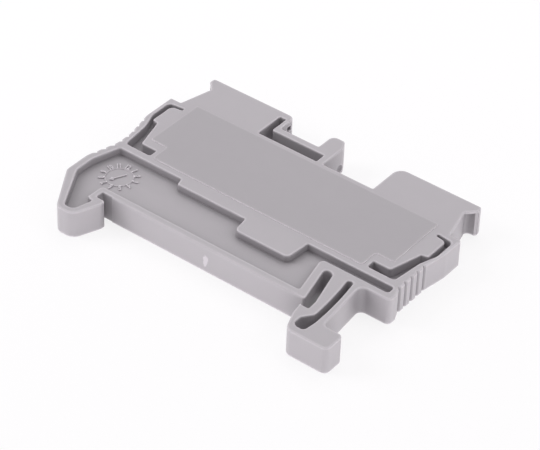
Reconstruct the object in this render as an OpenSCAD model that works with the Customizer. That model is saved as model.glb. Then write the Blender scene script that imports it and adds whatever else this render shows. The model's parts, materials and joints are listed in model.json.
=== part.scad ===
// Feed-through terminal block for a 35 mm top-hat rail, with two cage-spring clamps.
// It lies on its open side: X runs along the block, Y from the rail to the tower tops, Z through the
// thickness. Inside the modules Y = 0 is the seat on the rail and X = 0 the middle of the rail.

/* [Block] */
// Length over the hook's belly and the right end wall
block_length = 48.6; // [46:0.1:52]
// Thickness, which is the pitch on the rail
block_pitch = 4.2; // [4:0.05:5]
// Height from the rail seat to the tower tops
seat_to_top = 29.45; // [27.5:0.1:32]
// Drop of the hook and foot below the rail seat
foot_drop = 5.9; // [5.5:0.05:7]
// Length of each tower along the block, from its inner wall to the end of the block
tower_span = 15.2; // [14.6:0.1:16]

/* [Rail] */
// Width of the rail over its flanges
rail_width = 35; // [34:0.1:36]
// Height of the gaps that take the rail flanges
flange_gap = 1.1; // [1:0.05:1.6]
// Reach of the hook's nose under the rail flange
hook_reach = 1.5; // [1:0.05:1.8]
// Distance by which the spring foot stands in before the rail pushes it out
foot_preload = 0.4; // [0.1:0.05:0.6]
// Width of the slot beside the foot's inner leg
foot_slot = 1.45; // [1.1:0.05:1.7]
// Width of the slit that parts the foot's two legs
foot_slit = 0.85; // [0.5:0.05:0.9]

/* [Walls] */
// Thickness of the closed side wall over the chambers
cover_wall = 0.85; // [0.7:0.05:1.1]
// Thickness of the end walls
end_wall = 0.9; // [0.7:0.05:1.1]
// Height of the lip along the rail seat
seat_lip = 1.05; // [0.9:0.05:1.5]
// Thickness of the web below the chambers
web = 1.2; // [0.9:0.05:1.5]
// Thickness of the inner partition walls
partition = 0.9; // [0.7:0.05:1.1]

/* [Closed side] */
// Height of the raised panel
panel_raise = 0.1; // [0.06:0.01:0.25]
// Depth of the recess above the rail seat
recess_depth = 1.1; // [0.8:0.05:1.3]
// Depth of the curved grooves beside the end walls
end_groove_depth = 1.45; // [1:0.05:1.7]
// Width of the groove above the spring foot
foot_groove = 1.3; // [1:0.05:1.5]
// Pitch of the grip serrations on the end walls
serration_pitch = 1.35; // [1.2:0.05:1.7]
// Depth of the grip serrations
serration_depth = 0.3; // [0.1:0.05:0.35]

/* [Marking and bridging] */
// Width of the post between the two middle channels
post_width = 2.8; // [2.4:0.1:3.2]
// Depth of the right middle channel below the tower tops
bridge_channel_depth = 5.95; // [5.5:0.05:6.5]
// Depth of the left middle channel below the tower tops
marker_channel_depth = 3.2; // [2.8:0.05:3.6]
// Thickness of the bracket that floors the left middle channel
bracket = 1.1; // [0.9:0.05:1.3]
// Length of each of the two bridge shafts along the block
shaft_length = 2.6; // [2:0.1:3]
// Diameter of the hollow in the post that a plug-in bridge latches into
latch_hollow = 1.4; // [1:0.1:1.6]

/* [Terminals] */
// Diameter of the wire entries
wire_bore = 3; // [2.4:0.05:3.1]
// Length of a screwdriver opening along the block
driver_slot = 2.8; // [2.2:0.1:3.2]
// Width of the screwdriver openings through the thickness
driver_width = 2.6; // [2:0.1:2.7]

/* [Metal parts] */
// Height of the current bar above the rail seat
bar_level = 10.05; // [9.8:0.05:10.8]
// Thickness of the current bar
bar_thickness = 0.9; // [0.7:0.05:1.1]
// Width of the current bar
bar_width = 2.6; // [2.2:0.05:2.8]
// Height of the bar's upturned ends
bar_rise = 8.2; // [7.6:0.1:8.8]
// Thickness of the clamp spring strip
spring_thickness = 0.4; // [0.3:0.05:0.5]
// Width of the clamp spring strip
spring_width = 2.7; // [2.4:0.05:2.9]
// Radius of the spring loop at mid thickness
loop_radius = 2.05; // [1.8:0.05:2.2]

/* [Hidden] */

plastic = "#97989b";
tin = "#c9c8c4";
stainless = "#b4b6b8";

// Cuts run past the faces that they open by this much
over = 1;
// Angle of one chord on a rounded corner
chord_angle = 15;

// Corner radii: a tight mould corner, a plain one, a soft one and the sweep of a long bend
tight = 0.2;
plain = 0.35;
soft = 0.6;
swell = 1.3;
sweep = 3;

// Levels through the thickness
rim_z = block_pitch - panel_raise;
recess_z = rim_z - recess_depth;
roof_z = rim_z - cover_wall;
web_z = recess_z - web;
groove_z = rim_z - end_groove_depth;
mid_z = rim_z / 2;
top_z = block_pitch + over;
undercut_cover = 0.35;

// The hook's belly stands out further than the ledge at the right end, by twice this much
hook_bulge = 0.15;
end_x = block_length / 2;
hook_end = end_x + hook_bulge;
ledge_x = end_x - hook_bulge;

// Insets of the end walls and tower flanks from the end of the block
foot_end = end_x - 0.25;
grip_x = end_x - 0.7;
waist_x = end_x - 1.15;
groove_out = ledge_x - 0.65 * end_wall;
tower_lip = end_x - 1.8;
flank_low = end_x - 1.85;
flank_top = end_x - 3.1;

// Heights of the tower's shoulder, flank and marker undercut
shoulder_y = seat_to_top - 7.4;
flank_y = seat_to_top - 2.3;
undercut_low = seat_to_top - 3.1;
undercut_high = seat_to_top - 0.8;
undercut_mouth = 3;
undercut_depth = 0.8;

// Middle channels
tower_x = end_x - tower_span;
bracket_arm = 0.7;
bracket_gap = 1;
bracket_in = tower_x - 0.8;
bracket_out = bracket_in + bracket_arm;
post_right = 0.9;
post_left = post_right - post_width;
post_foot = post_right - 1.1;
bridge_y = seat_to_top - bridge_channel_depth;
marker_y = seat_to_top - marker_channel_depth;
bridge_x = (post_right + tower_x) / 2;
shaft_pitch = shaft_length + partition;
shaft_x = [bridge_x - shaft_pitch / 2, bridge_x + shaft_pitch / 2];
shafts_in = shaft_x[0] - shaft_length / 2;
core_split = (shafts_in - partition - tower_x) / 2;
gap_rise = 2.05;
latch = [0.4, 0.85, 0.7];
latch_rise = 1.85;
latch_sink = 1.15;
hollow_rise = 1.15;
hollow_level = 0.9;
hollow_depth = 0.4;
hollow_radius = (latch_hollow ^ 2 / 4 + hollow_depth ^ 2) / (2 * hollow_depth);

// Rail hook and spring foot
rail_x = rail_width / 2;
rail_play = 0.05;
hook_slot = rail_x + rail_play;
nose_x = hook_slot - hook_reach;
nose_face = 0.9;
slot_relief = 0.1;
seat_start = nose_x - 0.15;
hook_width = 1.55;
hook_rim = 0.95;
foot_x = rail_x - foot_preload;
toe_in = 1.35;
lug_x = rail_x + 6;
lug_y = 3.45 - foot_drop;
leg_low = rail_x + 2.9;
leg_high = rail_x + 2.05;

// Heights of the ribs below the chambers
rib_y = bar_level - 1.15;
groove_y = rib_y - foot_groove;
block_y = groove_y - 1.07;
tab_y = bar_level - 5;
chamber_top = shoulder_y - 1.1;
slot_top = groove_y - 1.35;

// Clamp, from the tower's inner wall outwards: loop, bar end, wire
spring_room = 1.1;
chamber_in = tower_x + partition;
loop_x = chamber_in + spring_room + spring_thickness / 2 + loop_radius;
upright_in = loop_x + loop_radius + spring_thickness / 2;
upright_x = upright_in + bar_thickness;
wire_x = upright_x + 1.2;
driver_x = chamber_in + 0.6;
bar_stop = upright_x + 0.7;
wire_stop = bar_level + 2.2;
entry_flare = 0.8;

// Current bar
bar_z = roof_z - bar_width;
bar_top = bar_level + bar_thickness;
bar_play = 0.1;
bar_bend = 1.5;
neck_width = bar_width - 1;
neck_y = bar_top + 1.1;
neck_z = roof_z - bar_width / 2;
hole_length = 1.4;
hole_width = 1.1;

// Clamp spring
spring_z = roof_z - spring_width;
leg_y = bar_top + 3.1;
leg_bend = 0.9;
leg_reach = 0.95;
leg_lap = 1;
loop_rise = 4;
loop_lean = 195;
window_play = 0.1;
window_rest = 0.05;
window_back = 1.2;

function unit(v) = v / norm(v);

// One outline corner [x, y, radius], between its neighbours, as points on an arc
function corner(before, at, after) =
    let (
        p = [at.x, at.y],
        back = [before.x, before.y] - p,
        ahead = [after.x, after.y] - p,
        half = acos(unit(back) * unit(ahead)) / 2,
        reach = min(at.z / tan(half), 0.48 * norm(back), 0.48 * norm(ahead)),
        r = reach * tan(half)
    )
    r < 0.01 || half > 89 ? [p] :
    let (
        centre = p + unit(unit(back) + unit(ahead)) * r / sin(half),
        first = p + unit(back) * reach - centre,
        last = p + unit(ahead) * reach - centre,
        start = atan2(first.y, first.x),
        turn = atan2(first.x * last.y - first.y * last.x, first * last)
    )
    arc(centre, r, start, start + turn);

function rounded(points) =
    let (n = len(points))
    [for (i = [0:n - 1]) each corner(points[(i + n - 1) % n], points[i], points[(i + 1) % n])];

function arc(centre, r, from, to) =
    let (steps = max(2, ceil(abs(to - from) / chord_angle)), step = (to - from) / steps)
    [for (i = [0:steps]) centre + r * [cos(from + i * step), sin(from + i * step)]];

// A strip of even width along a path
function strip(path, width) =
    let (
        n = len(path),
        along = [for (i = [0:n - 1]) unit(path[min(i + 1, n - 1)] - path[max(i - 1, 0)])],
        side = [for (a = along) [-a.y, a.x] * width / 2]
    )
    concat([for (i = [0:n - 1]) path[i] + side[i]], [for (i = [n - 1:-1:0]) path[i] - side[i]]);

// Mirror image of a corner list, in the same turning sense
function flipped(points) = [for (i = [len(points) - 1:-1:0]) [-points[i].x, points[i].y, points[i].z]];

module slab(points, low, high) {
    translate([0, 0, low]) linear_extrude(high - low) polygon(points);
}

module through(points) {
    slab(points, -over, top_z);
}

module both_ends() {
    children();
    mirror([1, 0, 0]) children();
}

// Right shoulder, outer flank and tower top, from the ledge towards the middle
right_tower = [
    [ledge_x, shoulder_y, tight],
    [flank_low, shoulder_y, tight],
    [flank_top, flank_y, tight],
    [tower_lip, seat_to_top - 0.95, plain],
    [tower_lip - 0.1, seat_to_top, plain],
];

// Left end wall, from the shoulder down to the hook's belly
left_wall = [
    [-ledge_x, shoulder_y - 5.2, sweep],
    [-waist_x, rib_y + 3.2, 2.5],
    [-waist_x, rib_y + 0.6, 2],
    [-hook_end, rib_y - 4, sweep],
];

// Whole outline, anticlockwise from the left end of the rail seat
outline = concat(
    [
        [-seat_start, 0, 0],
        [foot_x - foot_slot, 0, 0],
        [foot_x - toe_in, -flange_gap, tight],
        [foot_x - 1.1, -flange_gap - 1.7, 2],
        [foot_x + 0.1, -foot_drop, 1.2],
        [lug_x, -foot_drop, 0.8],
        [lug_x, lug_y, 0.7],
        [leg_low, lug_y, 0.75],
        [leg_high, block_y, 0.9],
        [foot_end, block_y, 1.1],
        [foot_end, groove_y + 0.3, soft],
        [grip_x, rib_y + 0.1, plain],
        [grip_x, shoulder_y - 6.9, sweep],
        [ledge_x, shoulder_y - 3.4, sweep],
    ],
    right_tower,
    [
        [tower_x, seat_to_top, 1.5],
        [tower_x, bridge_y, tight],
        [post_right, bridge_y, tight],
        [post_right, seat_to_top - 1.3, 1.2],
        [post_right - 0.75, seat_to_top, soft],
        [post_left, seat_to_top, 1],
        [post_left, marker_y, tight],
        [-bracket_in, marker_y, tight],
        [-bracket_in, seat_to_top, 0.9],
    ],
    flipped(right_tower),
    left_wall,
    [
        [-hook_end, 0.85, swell],
        [-rail_x - 2.8, -foot_drop, swell],
        [-nose_x - hook_width, -foot_drop, 1.6],
        [-nose_x, -flange_gap - nose_face, 1],
        [-nose_x, -flange_gap, 0.4],
        [-hook_slot, -flange_gap, 0.3],
        [-hook_slot, slot_relief, tight],
        [-seat_start, slot_relief, 0],
    ]
);

// Sunk field above the rail seat, with the belly of the hook and the groove above the foot
recess = [
    [-hook_slot - hook_rim + 0.1, seat_lip, soft],
    [rail_x - 3.45, seat_lip, plain],
    [rail_x - 4.95, groove_y, 0.75],
    [foot_end - 1.1, groove_y, 0.4],
    [foot_end - 1.1, rib_y, 0.4],
    [tower_x + 0.35, rib_y, tight],
    [tower_x, tab_y, 0.8],
    [post_right - 0.4, tab_y, 0.9],
    [post_right - 0.75, groove_y + 0.1, tight],
    [-tower_x - 2.1, groove_y + 0.1, plain],
    [-tower_x - 2.4, rib_y, plain],
    [-waist_x + end_wall + 0.15, rib_y, plain],
    [-hook_end + end_wall + 0.2, rib_y - 4.25, sweep],
    [-hook_end + end_wall + 0.2, 1.65, 1.2],
    [-rail_x - 2.2, hook_rim - foot_drop, soft],
    [-nose_x - 2.2, hook_rim - foot_drop, 0.8],
    [-nose_x - 1.45, -flange_gap - nose_face - 0.1, tight],
    [-hook_slot - hook_rim, -flange_gap - 0.75, plain],
];

// Upper right corners of the raised panel, cut back round the end groove
panel_edge = end_x - 4.2;
panel_low = bar_level - 0.15;
panel_side = [
    [bar_stop + 0.05, panel_low, plain],
    [bar_stop + 0.05, panel_low + 3, plain],
    [panel_edge, panel_low + 3, plain],
    [panel_edge, bridge_y - 0.7, tight],
];
panel = concat(panel_side, flipped(panel_side));

// Curved groove between an end wall and its clamp chamber
groove_in = bar_stop + 0.75;
groove_low = bar_level + 0.1;
groove_width = 1.3;
groove_hook = 0.4;
groove_top = shoulder_y - 1;
end_groove = [
    [groove_in, groove_low, plain],
    [end_x - 2.2, groove_low, 0.5],
    [end_x - 1.65, shoulder_y - 7.2, 2],
    [groove_out, shoulder_y - 4.6, 1.5],
    [groove_out, groove_top - 0.1, 0.7],
    [end_x - 3.15, groove_top + 0.15, tight],
    [end_x - 3.15, groove_top + 0.15 - groove_hook, tight],
    [groove_out - 0.7, groove_top - 0.1 - groove_hook, 0.8],
    [groove_out - 0.7, groove_top - 4.5, plain],
    [end_x - 2.4, groove_top - 4.7, plain],
    [end_x - 3.75, groove_low + groove_width, 0.5],
    [groove_in, groove_low + groove_width, tight],
];

// Clamp chamber on the open side, kept clear of the end groove
chamber_out = end_x - 3.4;
chamber = [
    [chamber_in, bar_level, tight],
    [bar_stop, bar_level, tight],
    [bar_stop, wire_stop, tight],
    [chamber_out - 1.4, wire_stop, plain],
    [chamber_out, groove_top - 4.4, soft],
    [chamber_out, chamber_top, plain],
    [chamber_in, chamber_top, plain],
];

// Undercut in a tower's flank that holds the edge of a marker strip
undercut = [
    [flank_top + 0.3, undercut_low, 0],
    [flank_top + undercut_mouth, undercut_low, 0],
    [flank_top + undercut_mouth, undercut_high, 0],
    [flank_top - undercut_depth, undercut_high, plain],
    [flank_top - undercut_depth, flank_y + 0.2, plain],
    [flank_top, flank_y, 0],
];

// Gap round the marker bracket
marker_gap = [
    [-bracket_out - bracket_gap, bridge_y, tight],
    [post_foot, bridge_y, tight],
    [post_foot, marker_y - bracket, tight],
    [-bracket_out, marker_y - bracket, plain],
    [-bracket_out, marker_y + gap_rise, tight],
    [-bracket_out - bracket_gap, marker_y + gap_rise, tight],
];

// Slot that lets the foot's inner leg swing, open to the rail flange
slot_lean = 2.95;
flange_slot = [
    [foot_x - slot_lean, slot_top, foot_slot / 2],
    [foot_x - foot_slot, 0, plain],
    [foot_x - slot_lean - 1, 0, 0],
    [foot_x - slot_lean - 1, -flange_gap, 0],
    [foot_x, -flange_gap, tight],
    [foot_x - 0.1, 0.5, 2],
    [foot_x - slot_lean + foot_slot * 0.92, slot_top, foot_slot / 2],
];

// Slit between the foot's two legs, which leans in along a parabola, and the eye at its lower end
slit_x = rail_x + 1.4;
slit_lean = 0.75;
slit_length = block_y - foot_slit / 2 - 0.1 - lug_y;
slit_path = [for (t = [1:-0.2:0]) [slit_x - slit_lean * t ^ 2, lug_y + slit_length * t]];
slit_eye = [
    [rail_x - 0.15, lug_y - 2.25, 0.9],
    [rail_x + 1.65, lug_y - 2.25, soft],
    [rail_x + 1.65, lug_y + 0.1, plain],
    [rail_x + 0.85, lug_y + 0.75, soft],
    [rail_x - 0.15, lug_y - 0.6, 0.7],
];

module clamp_pocket() {
    slab(rounded(chamber), -over, roof_z);
    translate([wire_x, 0, mid_z]) rotate([-90, 0, 0]) {
        translate([0, 0, chamber_top - over]) cylinder(d = wire_bore, h = seat_to_top, $fn = 48);
        translate([0, 0, seat_to_top - entry_flare])
            cylinder(d1 = wire_bore, d2 = wire_bore + 1, h = 2 * entry_flare, $fn = 48);
    }
    translate([driver_x, chamber_top - over, mid_z - driver_width / 2])
        cube([driver_slot, seat_to_top, driver_width]);
    slab(rounded(undercut), -over, rim_z - undercut_cover);
}

// Shaft for a plug-in bridge, down to the bar and into a pocket below it
module bridge_shaft(x) {
    pocket_y = tab_y + partition;
    translate([x - shaft_length / 2, pocket_y, -over])
        cube([shaft_length, chamber_top - pocket_y, roof_z + over]);
    translate([x - shaft_length / 2, chamber_top - over, partition])
        cube([shaft_length, bridge_y + 2 * over - chamber_top, roof_z - partition]);
}

// Hollow between two partition walls, which keeps the moulding's walls even
module core(left, right) {
    low = bar_top + partition;
    high = bridge_y - partition;
    slab(rounded([[left, low, plain], [right, low, plain], [right, high, plain], [left, high, plain]]),
        -over, roof_z);
}

// V groove through the thickness, in a wall that faces +X at this place
module serration(x, y) {
    translate([x, y, -over]) linear_extrude(top_z + over) polygon(serration_depth
        * [[-1, 0], [1, -2.2], [1, 2.2]]);
}

// Small pocket in a wall of the left channel that a marker strip latches into
module latch_pocket(x) {
    translate([x, marker_y + latch_rise, rim_z - latch_sink])
        cube([2 * latch.x, latch.y, latch.z], center = true);
}

module serrations() {
    left_x = [for (p = left_wall) [p.y, -p.x]];
    for (y = [rib_y + 0.4:serration_pitch:shoulder_y - 6.9]) serration(grip_x, y);
    mirror([1, 0, 0])
        for (y = [rib_y - 2.7:serration_pitch:shoulder_y - 6]) serration(lookup(y, left_x), y);
}

module housing() {
    color(plastic) difference() {
        union() {
            slab(rounded(outline), 0, rim_z);
            slab(rounded(panel), recess_z, block_pitch);
        }
        slab(rounded(recess), recess_z, top_z);
        slab(rounded(recess), -over, web_z);
        both_ends() {
            slab(rounded(end_groove), groove_z, top_z);
            clamp_pocket();
        }
        through(rounded(marker_gap));
        through(rounded(flange_slot));
        through(strip(slit_path, foot_slit));
        translate([slit_path[0].x, slit_path[0].y, -over])
            cylinder(d = foot_slit, h = top_z + over, $fn = 24);
        through(rounded(slit_eye));
        translate([-bar_stop, bar_level, -over])
            cube([2 * bar_stop, bar_thickness + bar_play, roof_z + over]);
        for (x = shaft_x) bridge_shaft(x);
        core(-tower_x, core_split - partition / 2);
        core(core_split + partition / 2, shafts_in - partition);
        for (x = [-bracket_in, post_left]) latch_pocket(x);
        translate([post_right + hollow_radius - hollow_depth, marker_y + hollow_rise, hollow_level])
            sphere(hollow_radius, $fn = 48);
        serrations();
    }
}

// Half of the bar's side view: the flat run, the bend and the upturned end
bar_half = [
    [0, bar_level, 0],
    [upright_x, bar_level, bar_bend],
    [upright_x, bar_level + bar_rise, tight],
    [upright_in, bar_level + bar_rise, tight],
    [upright_in, bar_top, bar_bend - bar_thickness],
    [0, bar_top, 0],
];

module current_bar() {
    neck_cut = (bar_width - neck_width) / 2;
    color(tin) difference() {
        both_ends() slab(rounded(bar_half), bar_z, roof_z);
        both_ends() for (z = [bar_z - over, roof_z - neck_cut])
            translate([upright_in - over, neck_y, z])
                cube([bar_thickness + 2 * over, bar_rise, neck_cut + over]);
        for (x = shaft_x)
            translate([x - hole_length / 2, bar_level - over, neck_z - hole_width / 2])
                cube([hole_length, bar_thickness + 2 * over, hole_width]);
    }
}

// The strip leaves the bar, makes its loop and comes back under it as the free leg
spring_path = concat(
    [[loop_x + loop_radius, leg_y + leg_lap]],
    arc([loop_x, leg_y + loop_rise], loop_radius, 0, loop_lean),
    arc([loop_x - leg_bend, leg_y + leg_bend], leg_bend, loop_lean, 270),
    [[upright_x + leg_reach, leg_y]]
);

module clamp_spring() {
    window_in = upright_in - window_back;
    color(stainless) difference() {
        slab(strip(spring_path, spring_thickness), spring_z, roof_z);
        translate([window_in, leg_y - over / 2, neck_z - neck_width / 2 - window_play])
            cube([upright_x + window_rest - window_in, over, neck_width + 2 * window_play]);
    }
}

module right_clamp_spring() { clamp_spring(); }
module left_clamp_spring() { mirror([1, 0, 0]) clamp_spring(); }

// The origin lies under the middle of the block
translate([hook_bulge, (foot_drop - seat_to_top) / 2, 0]) {
    housing();
    current_bar();
    left_clamp_spring();
    right_clamp_spring();
}
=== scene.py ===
"""Grey feed-through terminal block for a top-hat rail, lying on its open side in soft studio light.

Lengths in the classes are millimetres in the part's frame. Meshes are shaped in millimetres at the
bench and set down in metres.
"""

from __future__ import annotations

import json
import logging
import math
from dataclasses import dataclass, field
from enum import Enum
from typing import Any, Callable, Union

import bmesh
import bpy
from mathutils import Matrix, Vector

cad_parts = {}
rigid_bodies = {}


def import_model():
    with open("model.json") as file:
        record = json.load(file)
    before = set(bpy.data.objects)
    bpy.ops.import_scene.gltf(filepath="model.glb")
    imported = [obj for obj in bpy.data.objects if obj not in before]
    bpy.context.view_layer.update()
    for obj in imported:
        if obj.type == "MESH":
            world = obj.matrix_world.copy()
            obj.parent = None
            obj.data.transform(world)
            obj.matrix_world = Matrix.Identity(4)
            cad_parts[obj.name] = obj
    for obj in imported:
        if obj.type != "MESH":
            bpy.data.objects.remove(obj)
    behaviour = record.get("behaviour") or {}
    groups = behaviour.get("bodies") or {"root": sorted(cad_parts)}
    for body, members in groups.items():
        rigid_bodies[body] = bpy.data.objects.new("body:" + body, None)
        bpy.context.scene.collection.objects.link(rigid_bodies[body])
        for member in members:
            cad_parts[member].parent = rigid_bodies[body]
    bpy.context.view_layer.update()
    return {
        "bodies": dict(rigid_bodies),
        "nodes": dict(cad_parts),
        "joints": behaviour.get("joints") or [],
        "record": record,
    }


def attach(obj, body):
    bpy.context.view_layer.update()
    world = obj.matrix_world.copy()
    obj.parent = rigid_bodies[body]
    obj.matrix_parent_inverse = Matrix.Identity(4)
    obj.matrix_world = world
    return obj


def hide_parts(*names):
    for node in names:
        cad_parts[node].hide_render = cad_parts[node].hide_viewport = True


log = logging.getLogger("terminal_block")

MM = 0.001
BODY = "root"
# Lengths nearer than this count as equal.
NEAR = 0.01
# The middle of a noise, which swings evenly round it.
MEAN = 0.5

Point = tuple[float, float, float]
Colour = tuple[float, float, float]
Span = tuple[float, float]
Outline = tuple[tuple[float, float], ...]

WHITE: Colour = (1.0, 1.0, 1.0)


class Slot(Enum):
    """Material slots of the record."""

    PLASTIC = "housing_plastic"
    TIN = "bar_tin"
    SPRING = "spring_steel"


class Axis(Enum):
    """Directions that a seam is laid square to."""

    X = (1.0, 0.0, 0.0)
    Y = (0.0, 1.0, 0.0)


class Roundness(Enum):
    """Radii of the moulding's edges, in millimetres."""

    SHARP = 0.0
    CUT = 0.04
    INNER = 0.05
    # Members of equal value would be one member, so this differs a little from INNER.
    UPRIGHT = 0.051
    PANEL = 0.06
    RIM = 0.17
    SEAT = 0.32


# Shader bench


class Value:
    """A number on its way through a material: arithmetic on it adds Math nodes."""

    def __init__(self, bench: NodeBench, socket: bpy.types.NodeSocket) -> None:
        """Wraps one output socket of a bench's tree."""
        self.bench = bench
        self.socket = socket

    def _math(self, operation: str, *terms: Term) -> Value:
        """Adds one Math node.

        Args:
            operation: the node's operation.
            terms: its values or links, in order.

        Returns:
            The node's result.
        """
        return self.bench.node("ShaderNodeMath", {"operation": operation}, dict(enumerate(terms)))

    def __add__(self, other: Term) -> Value:
        """self + other"""
        return self._math("ADD", self, other)

    def __radd__(self, other: Term) -> Value:
        """other + self"""
        return self._math("ADD", other, self)

    def __sub__(self, other: Term) -> Value:
        """self - other"""
        return self._math("SUBTRACT", self, other)

    def __rsub__(self, other: Term) -> Value:
        """other - self"""
        return self._math("SUBTRACT", other, self)

    def __mul__(self, other: Term) -> Value:
        """self * other"""
        return self._math("MULTIPLY", self, other)

    def __rmul__(self, other: Term) -> Value:
        """other * self"""
        return self._math("MULTIPLY", other, self)

    def __truediv__(self, other: Term) -> Value:
        """self / other"""
        return self._math("DIVIDE", self, other)

    def __pow__(self, other: Term) -> Value:
        """self to the power of other"""
        return self._math("POWER", self, other)

    def over(self, low: float, high: float) -> Value:
        """A mask that climbs from 0 at low to 1 at high."""
        settings = {"interpolation_type": "SMOOTHSTEP"}
        return self.bench.node("ShaderNodeMapRange", settings, {0: self, 1: low, 2: high})

    def most(self, other: Term) -> Value:
        """The larger of the two."""
        return self._math("MAXIMUM", self, other)

    def size(self) -> Value:
        """The value without its sign."""
        return self._math("ABSOLUTE", self)


Term = Union[Value, bpy.types.NodeSocket, float, tuple]


class NodeBench:
    """Adds nodes to one node tree."""

    def __init__(self, owner: bpy.types.Material | bpy.types.World) -> None:
        """Starts an empty tree on a material or the world."""
        owner.use_nodes = True
        self.tree = owner.node_tree
        self.tree.nodes.clear()

    def node(
        self,
        kind: str,
        settings: dict[str, Any] | None = None,
        inputs: dict[str | int, Term] | None = None,
        output: str | int = 0,
    ) -> Value | None:
        """Adds a node.

        Args:
            kind: the node's type.
            settings: its properties, which are set first.
            inputs: values or links of its sockets, by name or number.
            output: the socket that is wanted from it, by name or number.

        Returns:
            The wanted output, if the node has one.
        """
        made = self.tree.nodes.new(kind)
        for name, setting in (settings or {}).items():
            setattr(made, name, setting)
        for name, term in (inputs or {}).items():
            socket = made.inputs[name]
            if isinstance(term, Value):
                self.tree.links.new(term.socket, socket)
            elif isinstance(term, bpy.types.NodeSocket):
                self.tree.links.new(term, socket)
            elif isinstance(term, tuple) and len(term) == 3 and socket.type == "RGBA":
                socket.default_value = (*term, 1.0)
            else:
                socket.default_value = term
        return Value(self, made.outputs[output]) if made.outputs else None

    def tint(self, factor: Term, first: Term, second: Term, blend: str = "MIX") -> Value:
        """Mixes two colours.

        Args:
            factor: how much of the second colour.
            first: a colour.
            second: a colour.
            blend: the way of mixing.

        Returns:
            The mixed colour.
        """
        settings = {"data_type": "RGBA", "blend_type": blend}
        return self.node("ShaderNodeMix", settings, {0: factor, 6: first, 7: second}, 2)

    def grey(self, level: Value) -> Value:
        """A colour with the same level in red, green and blue."""
        return self.node("ShaderNodeCombineColor", inputs={0: level, 1: level, 2: level})

    def place(self) -> Value:
        """The place on the object, in millimetres."""
        where = self.node("ShaderNodeTexCoord", output="Object")
        inputs = {0: where, "Scale": 1 / MM}
        return self.node("ShaderNodeVectorMath", {"operation": "SCALE"}, inputs)

    def axes(self, vector: Value) -> tuple[Value, Value, Value]:
        """The three numbers of a vector."""
        split = self.node("ShaderNodeSeparateXYZ", inputs={0: vector}).socket.node
        return tuple(Value(self, socket) for socket in split.outputs)

    def openness(self, reach: float, inside: bool = False) -> Value:
        """How open the surroundings are within reach, in millimetres, from 0 to 1, outside or inside."""
        settings = {"samples": 8, "only_local": True, "inside": inside}
        return self.node("ShaderNodeAmbientOcclusion", settings, {"Distance": reach * MM}, "AO")

    def noise(self, vector: Value, scale: float, detail: float = 3.0) -> Value:
        """Noise from 0 to 1, with features 1 / scale millimetres across."""
        return self.node("ShaderNodeTexNoise", inputs={0: vector, "Scale": scale, "Detail": detail})

    def stretched(self, vector: Value, factors: Point) -> Value:
        """The place with each axis multiplied by its factor."""
        settings = {"operation": "MULTIPLY"}
        return self.node("ShaderNodeVectorMath", settings, {0: vector, 1: factors})

    def bump(self, height: Value, depth: float) -> Value:
        """A normal from a height of 0 to 1, for relief of that depth in millimetres."""
        inputs = {"Strength": 1.0, "Distance": depth * MM, "Height": height}
        return self.node("ShaderNodeBump", inputs=inputs)

    def surface(self, inputs: dict[str | int, Term]) -> None:
        """Ends the tree in one principled shader."""
        shader = self.node("ShaderNodeBsdfPrincipled", inputs=inputs)
        self.node("ShaderNodeOutputMaterial", inputs={"Surface": shader})


# Finishes


@dataclass(frozen=True)
class Finish:
    """A surface that pieces share, as one material."""

    name: str

    def material(self) -> bpy.types.Material:
        """Finds the material, or makes it when there is none of that name yet.

        Returns:
            The finished material.
        """
        made = bpy.data.materials.get(self.name)
        if made is None:
            made = bpy.data.materials.new(self.name)
            self.paint(NodeBench(made))
        return made

    def paint(self, bench: NodeBench) -> None:
        """Builds the material's nodes."""
        raise NotImplementedError


@dataclass(frozen=True)
class GateScar:
    """The spot on the rail seat where the moulding was broken off: a leaning oval with a ragged rim."""

    centre: Point = (0.0, -11.775, 1.67)
    half_height: float = 1.1
    half_width: float = 0.42
    widening: float = 0.16
    lean: float = 0.12
    raggedness: float = 0.9
    rim: Span = (0.75, 1.05)
    depth: Span = (0.03, 0.08)

    def mask(self, bench: NodeBench, place: Value, ragged: Value) -> Value:
        """Marks the scar.

        Args:
            bench: the bench of the material.
            place: the place on the object.
            ragged: a noise round 0 that tears the rim.

        Returns:
            1 on the scar and 0 off it.
        """
        x, y, z = bench.axes(place)
        along = (z - self.centre[2]) / self.half_height
        across = (x - self.centre[0] - along * self.lean) / (self.half_width + along * self.widening)
        spread = (across * across + along * along) ** 0.5 + ragged * self.raggedness
        on_seat = 1.0 - (y - self.centre[1]).size().over(*self.depth)
        return (1.0 - spread.over(*self.rim)) * on_seat


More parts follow.
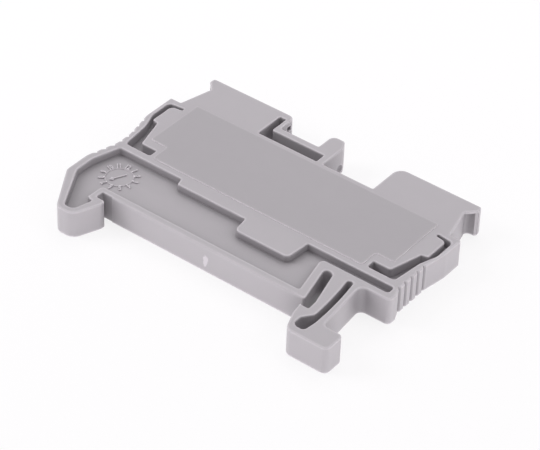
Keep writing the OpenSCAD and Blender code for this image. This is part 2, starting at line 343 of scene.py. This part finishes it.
@dataclass(frozen=True)
class MouldedPlastic(Finish):
    """Grey polyamide from the mould: grain, flow marks, painted shade in creases, painted highlights on
    edges.
    """

    name: str = "grey_polyamide"
    grey: Colour = (0.425, 0.397, 0.425)
    # The tone that the grey is multiplied by, and what flow marks, clouds and grain add to it.
    base_tone: float = 0.965
    flow_stretch: Point = (0.6, 1.0, 1.0)
    flow_tone: float = 0.05
    cloud_tone: float = 0.04
    grain_tone: float = 0.035
    # The panel above this level is darker, and the step round it gets a painted highlight between its foot
    # and head.
    panel_level: float = 4.16
    panel_blur: float = 0.02
    panel_tone: float = 0.875
    step_foot: Span = (4.11, 4.13)
    step_head: Span = (4.18, 4.2)
    step_pale: float = 0.25
    scar: GateScar = GateScar()
    scar_pale: float = 0.42
    # How far the painted highlight on convex edges reaches.
    rubbed: float = 0.34
    # The painted shade in creases and grooves thins out between these levels. Creases and grooves are felt
    # over these lengths.
    dust_top: Span = (4.0, 4.08)
    crease: float = 4.0
    crease_dust: float = 1.0
    groove: float = 0.3
    groove_dust: float = 0.6
    # What the marks add to the roughness, and what is taken off where the edges carry the painted
    # highlight.
    roughness: float = 0.46
    cloud_rough: float = 0.12
    panel_rough: float = 0.05
    scar_rough: float = 0.15
    edge_polish: float = 0.06
    # Heights of the clouds and of the scar against the grain's, and the depth of it all.
    cloud_relief: float = 0.8
    scar_relief: float = 4.0
    relief: float = 0.012

    def paint(self, bench: NodeBench) -> None:
        """Mixes the grey from the grain, the panel's tone, the gate scar, painted shade and painted
        highlights.
        """
        place = bench.place()
        level = bench.axes(place)[2]
        flow = bench.noise(bench.stretched(place, self.flow_stretch), scale=0.11, detail=2.0)
        cloud = bench.noise(place, scale=0.7, detail=4.0)
        grain = bench.noise(place, scale=9.0, detail=2.0)
        ragged = bench.noise(place, scale=2.2) - MEAN
        scar = self.scar.mask(bench, place, ragged)
        panel = level.over(self.panel_level - self.panel_blur, self.panel_level + self.panel_blur)
        step = level.over(*self.step_foot) * (1.0 - level.over(*self.step_head))
        below_rim = 1.0 - level.over(*self.dust_top)
        # Painted highlight: convex edges, found by looking into the solid, are made paler.
        edge = 1.0 - bench.openness(self.rubbed, inside=True)
        around = bench.openness(self.crease)
        groove = 1.0 - bench.openness(self.groove)

        tone = self.base_tone + flow * self.flow_tone
        tone = tone + (cloud - MEAN) * self.cloud_tone + (grain - MEAN) * self.grain_tone
        tone = tone * (1.0 - panel * (1.0 - self.panel_tone)) * (1.0 + scar * self.scar_pale)
        # Painted shade lies in corners that are half open, neither on open faces nor deep in the chambers.
        tone = tone * (1.0 - (1.0 - around) * around * below_rim * self.crease_dust)
        # Painted shade darkens narrow grooves below the rim.
        tone = tone * (1.0 - groove * below_rim * self.groove_dust)
        # Painted highlights: the convex edges and the panel's step are made paler.
        tone = tone * (1.0 + edge) * (1.0 + step * self.step_pale)
        rough = self.roughness + (cloud - MEAN) * self.cloud_rough + panel * self.panel_rough
        rough = rough + scar * self.scar_rough - edge * self.edge_polish
        height = grain + cloud * self.cloud_relief + ragged * scar * self.scar_relief
        bench.surface(
            {
                "Base Color": bench.tint(1.0, self.grey, bench.grey(tone), "MULTIPLY"),
                "Roughness": rough,
                "IOR": 1.5,
                "Normal": bench.bump(height, self.relief),
            }
        )


@dataclass(frozen=True)
class RolledMetal(Finish):
    """Strip metal with fine rolling lines along X and a little staining."""

    metal: Colour
    stain: Colour
    roughness: float
    line_scale: float = 14.0
    line_stretch: Point = (0.05, 1.0, 1.0)
    line_rough: float = 0.25
    line_depth: float = 0.004
    stain_edge: Span = (0.5, 0.75)
    stain_share: float = 0.5
    stain_rough: float = 0.15

    def paint(self, bench: NodeBench) -> None:
        """Lays the stains under the rolling lines."""
        place = bench.place()
        lines = bench.noise(bench.stretched(place, self.line_stretch), self.line_scale, detail=2.0)
        stained = bench.noise(place, scale=0.5).over(*self.stain_edge) * self.stain_share
        rough = self.roughness + (lines - MEAN) * self.line_rough + stained * self.stain_rough
        bench.surface(
            {
                "Base Color": bench.tint(stained, self.metal, self.stain),
                "Metallic": 1.0,
                "Roughness": rough,
                "Normal": bench.bump(lines, self.line_depth),
            }
        )


# Bench work


@dataclass(frozen=True)
class Edge:
    """What a rounding rule sees of an edge, with its turn in degrees, above 0 where it sticks out."""

    middle: Vector
    along: Vector
    length: float
    turn: float


class Bench:
    """Hand tools for meshes in millimetres."""

    @staticmethod
    def take(piece: bpy.types.Object) -> None:
        """Makes a piece the only one selected."""
        Bench.clear()
        piece.select_set(True)
        bpy.context.view_layer.objects.active = piece

    @staticmethod
    def clear() -> None:
        """Deselects everything."""
        bpy.ops.object.select_all(action="DESELECT")

    @staticmethod
    def edit(piece: bpy.types.Object, *steps: Callable[[], Any]) -> None:
        """Runs operators in edit mode on a whole piece.

        Args:
            piece: the piece to shape.
            steps: calls that each run one operator, with everything selected before each.
        """
        Bench.take(piece)
        bpy.ops.object.mode_set(mode="EDIT")
        bpy.ops.mesh.select_mode(type="VERT")
        for step in steps:
            bpy.ops.mesh.select_all(action="SELECT")
            step()
        bpy.ops.object.mode_set(mode="OBJECT")

    @staticmethod
    def modifier(piece: bpy.types.Object, kind: str, **settings: Any) -> None:
        """Adds a modifier with these settings and applies it."""
        Bench.take(piece)
        added = piece.modifiers.new(kind.lower(), kind)
        for name, setting in settings.items():
            setattr(added, name, setting)
        bpy.ops.object.modifier_apply(modifier=added.name)

    @staticmethod
    def smooth(piece: bpy.types.Object, degrees: float = 38.0) -> None:
        """Smooth shading over gentle edges, with flat faces kept flat."""
        Bench.take(piece)
        bpy.ops.object.shade_smooth_by_angle(angle=math.radians(degrees))
        Bench.modifier(piece, "WEIGHTED_NORMAL", keep_sharp=True, weight=80)

    @staticmethod
    def set_down(piece: bpy.types.Object) -> None:
        """Takes a piece shaped in millimetres to its place in metres, with its object at the origin."""
        Bench.take(piece)
        bpy.ops.object.transform_apply(location=True, rotation=True, scale=True)
        piece.data.transform(Matrix.Scale(MM, 4))
        piece.data.update()

    @staticmethod
    def prism(outline: Outline, low: float, high: float) -> bpy.types.Object:
        """Raises a flat outline to an upright block.

        Args:
            outline: its corners in order.
            low: the level of its lower face.
            high: the level of its upper face.

        Returns:
            The block.
        """
        Bench.clear()
        bpy.ops.mesh.primitive_circle_add(vertices=len(outline), fill_type="NGON")
        block = bpy.context.object
        for corner, (x, y) in zip(block.data.vertices, outline):
            corner.co = (x, y, low)
        lift = {"value": (0.0, 0.0, high - low)}
        Bench.edit(
            block,
            lambda: bpy.ops.mesh.extrude_region_move(TRANSFORM_OT_translate=lift),
            lambda: bpy.ops.mesh.normals_make_consistent(inside=False),
        )
        return block

    @staticmethod
    def work(piece: bpy.types.Object, tool: bpy.types.Object, operation: str) -> None:
        """Cuts a tool out of a piece or adds it on, and puts the tool away."""
        Bench.modifier(piece, "BOOLEAN", operation=operation, object=tool, solver="EXACT")
        bpy.data.objects.remove(tool)

    @staticmethod
    def join(pieces: list[bpy.types.Object], name: str) -> bpy.types.Object:
        """Joins pieces into one.

        Args:
            pieces: what to join.
            name: the joined piece's name.

        Returns:
            The joined piece.
        """
        Bench.clear()
        for piece in pieces:
            piece.select_set(True)
        bpy.context.view_layer.objects.active = pieces[0]
        bpy.ops.object.join()
        pieces[0].name = pieces[0].data.name = name
        return pieces[0]


# Sub-assemblies


@dataclass
class CadPiece:
    """A sub-assembly whose form is one node of the frame, with its edges rounded."""

    node: str
    slot: Slot
    finish: Finish
    edge: float = 0.05
    segments: int = 2
    # Edges that turn by fewer degrees than this stay as they are.
    bend: float = 28.0
    # Corners nearer than this are joined, and so are faces within so many degrees of flat.
    weld: float = 0.002
    flat: float = 1.0
    seams: tuple[tuple[Axis, float], ...] = ()
    piece: bpy.types.Object | None = field(default=None, init=False)

    def radius(self, edge: Edge) -> float:
        """The radius that an edge gets, in millimetres."""
        return self.edge if edge.turn > 0 else 0.0

    def build(self, frame: dict[str, Any]) -> bpy.types.Object:
        """Copies the node's form, joins its loose triangles, refines it and rounds its edges.


        Returns:
            The finished mesh object.
        """
        mesh = frame["nodes"][self.node].data.copy()
        mesh.materials.clear()
        mesh.transform(Matrix.Scale(1 / MM, 4))
        self.piece = bpy.data.objects.new(self.node + "_rounded", mesh)
        bpy.context.scene.collection.objects.link(self.piece)
        Bench.edit(
            self.piece,
            lambda: bpy.ops.mesh.customdata_custom_splitnormals_clear(),
            lambda: bpy.ops.mesh.remove_doubles(threshold=self.weld),
            lambda: bpy.ops.mesh.dissolve_limited(angle_limit=math.radians(self.flat), delimit=set()),
        )
        self.lay_seams()
        self.refine()
        self.round_edges()
        Bench.smooth(self.piece)
        Bench.set_down(self.piece)
        return self.piece

    def lay_seams(self) -> None:
        """Parts the large flat faces along planes, so that none has to reach round a hole."""
        for axis, place in self.seams:
            normal = axis.value
            middle = [place * part for part in normal]
            Bench.edit(self.piece, lambda: bpy.ops.mesh.bisect(plane_co=middle, plane_no=normal))

    def refine(self) -> None:
        """Eases what the node's form leaves too plain, on pieces that need it."""

    def round_edges(self) -> None:
        """Rounds each edge that turns enough by its own radius."""
        mesh = self.piece.data
        shape = bmesh.new()
        shape.from_mesh(mesh)
        radii = []
        for edge in shape.edges:
            turn = math.degrees(edge.calc_face_angle_signed(0.0)) if len(edge.link_faces) == 2 else 0.0
            first, last = (corner.co for corner in edge.verts)
            run = last - first
            seen = Edge((first + last) / 2, run.normalized(), run.length, turn)
            radii.append(self.radius(seen) if abs(turn) > self.bend else 0.0)
        shape.free()
        widest = max(radii)
        weights = mesh.attributes.new("bevel_weight_edge", "FLOAT", "EDGE")
        weights.data.foreach_set("value", [radius / widest for radius in radii])
        Bench.modifier(
            self.piece,
            "BEVEL",
            width=widest,
            segments=self.segments,
            limit_method="WEIGHT",
            offset_type="OFFSET",
            use_clamp_overlap=False,
            loop_slide=False,
        )

    def dress(self) -> None:
        """Gives the piece its finish and ties it to the frame."""
        self.piece.data.materials.append(self.finish.material())
        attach(self.piece, BODY)
        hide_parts(self.node)


@dataclass
class Housing(CadPiece):
    """The moulded housing, with its hook, spring foot and towers."""

    node: str = "housing"
    slot: Slot = Slot.PLASTIC
    finish: Finish = field(default_factory=MouldedPlastic)
    segments: int = 3
    seams: tuple[tuple[Axis, float], ...] = (
        (Axis.X, -18.9),
        (Axis.X, -14.5),
        (Axis.X, -5.0),
        (Axis.X, 13.2),
        (Axis.X, 16.4),
        (Axis.X, 19.0),
        (Axis.Y, 16.05),
    )
    # Levels of the panel, of the rim round it and of the underside of the marker covers.
    panel_top: float = 4.2
    rim_top: float = 4.1
    cover_low: float = 3.75
    # Where the rail seat lies, and how far to each side of the middle its edge is softest.
    seat: float = -11.775
    soft_seat: float = 13.0
    # Upright edges have this share of Z in their direction, and up to this length they stay sharp.
    steep: float = 0.9
    short: float = 1.0
    # Edges along the seat have this share of X in their direction.
    straight: float = 0.99
    # How far a cutting block stands out above and below.
    over: float = 1.0
    # What is cut away where the foot's slit opens into its eye.
    slit_end: Outline = (
        (18.62, -12.8),
        (18.59, -13.18),
        (18.52, -13.43),
        (18.39, -13.65),
        (18.2, -13.9),
        (18.35, -14.5),
        (18.85, -15.6),
        (19.28, -15.8),
        (19.37, -15.35),
        (19.43, -14.9),
        (19.47, -14.45),
        (19.48, -14.1),
        (19.43, -12.8),
    )
    # The towers mirror each other about this x.
    mirror: float = 0.15
    # What is added under the right tower's marker lip, up to this level.
    lip_top: float = 3.9
    lip_round: Outline = (
        (22.385, 16.475),
        (22.1, 16.525),
        (21.77, 16.495),
        (21.49, 16.375),
        (21.29, 16.155),
        (21.21, 15.875),
        (21.25, 15.625),
        (21.37, 15.395),
        (20.45, 15.27),
        (20.45, 16.975),
        (22.58, 16.975),
        (22.6, 16.74),
    )

    def refine(self) -> None:
        """Runs the foot's slit into its eye in one sweep, and rounds the hollows under the marker lips."""
        sweep = Bench.prism(self.slit_end, -self.over, self.panel_top + self.over)
        Bench.work(self.piece, sweep, "DIFFERENCE")
        left_lip = tuple((2 * self.mirror - x, y) for x, y in self.lip_round)
        for outline in (self.lip_round, left_lip):
            Bench.work(self.piece, Bench.prism(outline, 0.0, self.lip_top), "UNION")

    def radius(self, edge: Edge) -> float:
        """The radius that an edge of the moulding gets, in millimetres."""
        return self.roundness(edge).value

    def roundness(self, edge: Edge) -> Roundness:
        """Sorts an edge by its level and direction.

        Args:
            edge: what is seen of the edge.

        Returns:
            How round the mould left it: sharp at the parting face and under the marker covers,
            softest along the rail seat.
        """
        on_rim = abs(edge.middle.z - self.rim_top) < NEAR
        if abs(edge.middle.z - self.panel_top) < NEAR:
            return Roundness.PANEL
        highest = edge.middle.z + abs(edge.along.z) * edge.length / 2
        if abs(highest - self.cover_low) < NEAR:
            return Roundness.SHARP
        if edge.turn < 0:
            return Roundness.SHARP if on_rim else Roundness.INNER
        if abs(edge.along.z) > self.steep:
            return Roundness.UPRIGHT if edge.length > self.short else Roundness.SHARP
        if edge.middle.z < NEAR:
            return Roundness.SHARP
        if not on_rim:
            return Roundness.CUT
        along_seat = abs(edge.middle.y - self.seat) < NEAR and abs(edge.along.x) > self.straight
        return Roundness.SEAT if along_seat and abs(edge.middle.x) < self.soft_seat else Roundness.RIM


@dataclass
class DateDial:
    """The mould's month dial on the recess floor: a ring, the numbers round it and a pointer."""

    finish: Finish
    centre: Point = (-18.7, -6.845, 3.0)
    height: float = 0.18
    ring: float = 1.92
    bead: float = 0.13
    # The ring's height as a share of the dial's.
    ring_rise: float = 0.7
    months: int = 12
    # Degrees by which the dial is turned.
    turned: float = 12.0
    number_at: float = 2.33
    number_size: float = 1.13
    number_edge: float = 0.03
    narrowing: float = 0.62
    weight: float = 0.045
    curve_steps: int = 3
    weld: float = 0.0005
    # The pointer's length, width and turn, and the size and place of its head.
    pointer: float = 2.14
    pointer_width: float = 0.18
    pointer_turn: float = 64.0
    head: float = 0.42
    head_at: float = 1.1
    softness: float = 0.04
    piece: bpy.types.Object | None = field(default=None, init=False)

    def build(self) -> bpy.types.Object:
        """Models the ring, numbers and pointer.

        Returns:
            The dial as one mesh object.
        """
        numbers = [self._number(month + 1) for month in range(self.months)]
        self.piece = Bench.join([self._ring(), *numbers, self._pointer()], "date_dial")
        Bench.smooth(self.piece)
        Bench.set_down(self.piece)
        return self.piece

    def _ring(self) -> bpy.types.Object:
        """A round bead, half sunk in the floor."""
        Bench.clear()
        bpy.ops.mesh.primitive_torus_add(
            location=self.centre,
            major_segments=64,
            minor_segments=10,
            major_radius=self.ring,
            minor_radius=self.bead,
        )
        ring = bpy.context.object
        rise = self.height / self.bead * self.ring_rise
        Bench.edit(ring, lambda: bpy.ops.transform.resize(value=(1, 1, rise)))
        return ring

    def _number(self, month: int) -> bpy.types.Object:
        """One raised number with rounded edges, its foot towards the middle of the dial.

        Args:
            month: the number.

        Returns:
            The number as a mesh, at its place.
        """
        Bench.clear()
        bpy.ops.object.text_add()
        number = bpy.context.object
        letters = number.data
        letters.body = str(month)
        letters.size = self.number_size
        letters.align_x = letters.align_y = "CENTER"
        letters.extrude = self.height - self.number_edge
        letters.bevel_depth = self.number_edge
        letters.offset = self.weight
        letters.resolution_u = self.curve_steps
        bpy.ops.object.convert(target="MESH")
        turn = math.tau * month / self.months - math.radians(self.turned)
        Bench.edit(
            number,
            lambda: bpy.ops.mesh.remove_doubles(threshold=self.weld),
            lambda: bpy.ops.mesh.normals_make_consistent(inside=False),
            lambda: bpy.ops.transform.resize(value=(self.narrowing, 1, 1)),
            lambda: bpy.ops.transform.translate(value=(0, self.number_at, 0)),
            lambda: bpy.ops.transform.rotate(value=turn, orient_axis="Z", center_override=(0, 0, 0)),
            lambda: bpy.ops.transform.translate(value=self.centre),
        )
        return number

    def _pointer(self) -> bpy.types.Object:
        """A straight bar with a wedge for its head, both with rounded edges and half sunk in the floor.

        Returns:
            The pointer, at its place.
        """
        middle = Vector(self.centre)
        tip = middle - Vector((self.head_at, 0, 0))
        thick = self.height * 2
        Bench.clear()
        size = (self.pointer, self.pointer_width, thick)
        bpy.ops.mesh.primitive_cube_add(size=1, location=middle, scale=size)
        bar = bpy.context.object
        bpy.ops.mesh.primitive_cylinder_add(
            vertices=3, radius=self.head, depth=thick, location=tip, rotation=(0, 0, math.pi / 2)
        )
        head = bpy.context.object
        for part in (bar, head):
            Bench.take(part)
            bpy.ops.object.transform_apply(location=True, rotation=True, scale=True)
            Bench.edit(part, lambda: bpy.ops.mesh.bevel(offset=self.softness, segments=2))
        pointer = Bench.join([bar, head], "pointer")
        turn = -math.radians(self.pointer_turn)
        Bench.edit(
            pointer,
            lambda: bpy.ops.transform.rotate(value=turn, orient_axis="Z", center_override=self.centre),
        )
        return pointer

    def dress(self) -> None:
        """Gives the dial its finish and ties it to the frame."""
        self.piece.data.materials.append(self.finish.material())
        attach(self.piece, BODY)


# Studio


def outward(azimuth: float, elevation: float) -> Vector:
    """The direction from the object to a place round it.

    Args:
        azimuth: degrees from -Y towards +X.
        elevation: degrees above the floor.

    Returns:
        A unit vector.
    """
    turn, rise = math.radians(azimuth), math.radians(elevation)
    return Vector((math.sin(turn) * math.cos(rise), -math.cos(turn) * math.cos(rise), math.sin(rise)))


@dataclass(frozen=True)
class Lamp:
    """A softbox on a sphere round the object, with its sizes in metres."""

    name: str
    azimuth: float
    elevation: float
    distance: float
    width: float
    height: float
    power: float

    def hang(self, aim: Vector) -> bpy.types.Object:
        """Hangs the softbox facing a point.

        Args:
            aim: the point, in metres.

        Returns:
            The lamp object.
        """
        data = bpy.data.lights.new(self.name, "AREA")
        data.shape = "RECTANGLE"
        data.size = self.width
        data.size_y = self.height
        data.energy = self.power
        lamp = bpy.data.objects.new(self.name, data)
        bpy.context.scene.collection.objects.link(lamp)
        back = outward(self.azimuth, self.elevation)
        lamp.location = aim + back * self.distance
        lamp.rotation_euler = back.to_track_quat("Z", "Y").to_euler()
        return lamp


@dataclass
class Studio:
    """White floor, softboxes, the light of the room and the camera.

    The room is bright up to a band of degrees over the horizon, leaning a little to the right and the
    back, and dim above it. Rays that show the background see plain white.
    """

    azimuth: float = 36.467
    elevation: float = 38.792
    roll: float = -2.218
    distance: float = 307.831
    aim: Point = (2.0167, -0.9247, 2.0)
    lens: float = 157.707
    sensor: float = 36.0
    # The nearest and the farthest that the camera sees, in metres.
    clip: Span = (0.01, 10.0)
    # The floor's size in metres, and how far it lies under the part in millimetres.
    floor_size: float = 4.0
    floor_drop: float = 0.02
    paper: float = 0.88
    paper_mottle: float = 0.02
    table_glow: float = 0.4
    shown_paper: Colour = (0.2, 0.19, 0.2)
    shown_glow: float = 0.8
    sky: float = 0.46
    horizon: float = 3.4
    band: Span = (3.0, 14.0)
    lean: Span = (0.15, 0.1)
    lamps: tuple[Lamp, ...] = (
        Lamp("back_softbox", 205.0, 62.0, distance=0.26, width=0.24, height=0.2, power=0.19),
        Lamp("left_softbox", -62.0, 34.0, distance=0.6, width=0.3, height=0.3, power=1.3),
        Lamp("right_softbox", 105.0, 40.0, distance=0.6, width=0.3, height=0.3, power=0.5),
    )

    def camera(self) -> bpy.types.Object:
        """Sets up the camera.

        Returns:
            The camera object.
        """
        data = bpy.data.cameras.new("camera")
        data.lens = self.lens
        data.sensor_width = self.sensor
        data.sensor_fit = "HORIZONTAL"
        data.clip_start, data.clip_end = self.clip
        made = bpy.data.objects.new("camera", data)
        bpy.context.scene.collection.objects.link(made)
        back = outward(self.azimuth, self.elevation)
        made.location = (Vector(self.aim) + back * self.distance) * MM
        upright = back.to_track_quat("Z", "Y").to_matrix()
        made.rotation_euler = (upright @ Matrix.Rotation(math.radians(-self.roll), 3, "Z")).to_euler()
        bpy.context.scene.camera = made
        return made

    def floor(self) -> bpy.types.Object:
        """Lays the floor, which can be seen through from below.

        Returns:
            The floor object.
        """
        Bench.clear()
        bpy.ops.mesh.primitive_plane_add(size=self.floor_size, location=(0, 0, -self.floor_drop * MM))
        made = bpy.context.object
        made.name = "floor"
        paper = bpy.data.materials.new("white_paper")
        bench = NodeBench(paper)
        fibre = bench.noise(bench.place(), scale=0.05)
        level = self.paper + (fibre - MEAN) * self.paper_mottle
        lit = self._glowing(bench, bench.grey(level), self.table_glow)
        bright = self._glowing(bench, self.shown_paper, self.shown_glow)
        face = bench.node("ShaderNodeMixShader", inputs={0: self._seen(bench), 1: lit, 2: bright})
        open_below = bench.node("ShaderNodeBsdfTransparent")
        under = bench.node("ShaderNodeNewGeometry", output="Backfacing")
        both = bench.node("ShaderNodeMixShader", inputs={0: under, 1: face, 2: open_below})
        bench.node("ShaderNodeOutputMaterial", inputs={"Surface": both})
        made.data.materials.append(paper)
        return made

    @staticmethod
    def _glowing(bench: NodeBench, colour: Term, glow: float) -> Value:
        """A matt surface that also gives off white light.

        Args:
            bench: the bench of the material.
            colour: the surface's colour.
            glow: the strength of its own light.

        Returns:
            The shader.
        """
        matt = bench.node("ShaderNodeBsdfDiffuse", inputs={0: colour})
        light = bench.node("ShaderNodeEmission", inputs={0: WHITE, 1: glow})
        return bench.node("ShaderNodeAddShader", inputs={0: matt, 1: light})

    @staticmethod
    def _seen(bench: NodeBench) -> Value:
        """A mask of the rays that show the background: straight, mirrored or through glass."""
        path = bench.node("ShaderNodeLightPath").socket.node.outputs
        straight = Value(bench, path["Is Camera Ray"])
        return straight.most(path["Is Glossy Ray"]).most(path["Is Transmission Ray"])

    def light(self) -> None:
        """Hangs the softboxes and lights the room."""
        scene = bpy.context.scene
        scene.view_settings.view_transform = "Standard"
        for lamp in self.lamps:
            lamp.hang(Vector(self.aim) * MM)
        scene.world = bpy.data.worlds.new("white_room")
        bench = NodeBench(scene.world)
        right, back, rise = bench.axes(bench.node("ShaderNodeTexCoord", output="Generated"))
        low, high = (math.sin(math.radians(edge)) for edge in self.band)
        glow = self.horizon * (1.0 + right * self.lean[0] + back * self.lean[1])
        level = self.sky + (1.0 - rise.over(low, high)) * (glow - self.sky)
        room = bench.node("ShaderNodeBackground", inputs={0: WHITE, 1: level})
        white = bench.node("ShaderNodeBackground", inputs={0: WHITE, 1: 1.0})
        shown = bench.node("ShaderNodeMixShader", inputs={0: self._seen(bench), 1: room, 2: white})
        bench.node("ShaderNodeOutputWorld", inputs={"Surface": shown})


def main() -> None:
    """Loads the frame, builds each sub-assembly and the studio, and logs each piece's face count."""
    logging.basicConfig(level=logging.INFO, format="%(name)s: %(message)s")
    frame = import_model()
    tin = RolledMetal("tin_plate", metal=(0.74, 0.73, 0.70), stain=(0.55, 0.53, 0.50), roughness=0.36)
    # The frame brings a plain material of this name, and the springs carry that one.
    steel = Finish("spring_steel")
    parts: list[CadPiece] = [
        Housing(),
        CadPiece("current_bar", Slot.TIN, tin),
        CadPiece("left_clamp_spring", Slot.SPRING, steel, edge=0.04),
        CadPiece("right_clamp_spring", Slot.SPRING, steel, edge=0.04),
    ]
    for part in parts:
        piece = part.build(frame)
        part.dress()
        log.info("%s: %d faces", piece.name, len(piece.data.polygons))
    # The dial's relief gets a narrower painted highlight on its edges.
    dial = DateDial(MouldedPlastic("grey_relief", rubbed=0.16))
    relief = dial.build()
    dial.dress()
    log.info("%s: %d faces", relief.name, len(relief.data.polygons))
    studio = Studio()
    studio.floor()
    studio.light()
    studio.camera()


if __name__ == "__main__":
    main()
